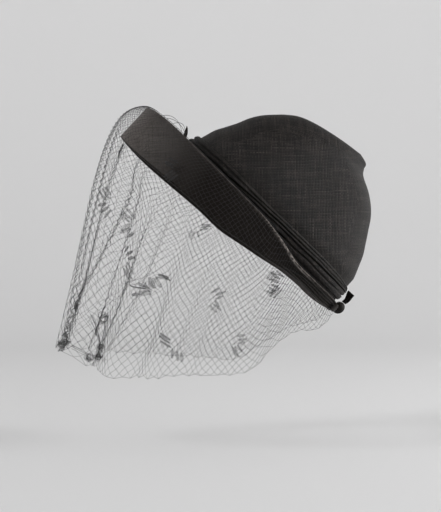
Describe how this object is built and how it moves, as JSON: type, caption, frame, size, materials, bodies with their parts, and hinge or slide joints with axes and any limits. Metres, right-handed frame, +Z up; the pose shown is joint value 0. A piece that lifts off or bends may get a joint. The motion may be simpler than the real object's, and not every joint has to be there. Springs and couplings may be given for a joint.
{
  "type": "sisal hat with net veil",
  "caption": "Blocked sisal crown with tucked folds, a stiff ribbon-covered stand-off brim band with bows, and a darned fishnet veil, held up as it is worn.",
  "frame": {"origin": "centre of the head opening, at the foot of the crown", "axes": "+Z up, -Y the way the wearer faces, +X the wearer's left; the crown leans back by 43 degrees about X"},
  "size_m": [0.2251, 0.3118, 0.2681],
  "materials": {
    "sisal": "open weave of black sisal, faded a little to brown",
    "ribbon": "fine ribbed ribbon, warm black, matt",
    "net": "black thread net",
    "darning": "black darning thread"
  },
  "bodies": {
    "root": {"crown": "sisal", "sisal_fold_lower": "sisal", "sisal_fold_upper": "sisal", "brim_band": "ribbon", "back_knot": "ribbon", "back_tab": "ribbon", "back_loop_left": "ribbon", "back_loop_right": "ribbon", "front_knot": "ribbon", "front_leaf_left": "ribbon", "front_leaf_right": "ribbon", "veil": "net", "motif_01": "darning", "motif_02": "darning", "motif_03": "darning", "motif_04": "darning", "motif_05": "darning", "motif_06": "darning", "motif_07": "darning", "motif_08": "darning", "motif_09": "darning", "motif_10": "darning", "motif_11": "darning", "motif_12": "darning", "motif_13": "darning", "motif_14": "darning", "motif_15": "darning"}
  },
  "joints": []
}
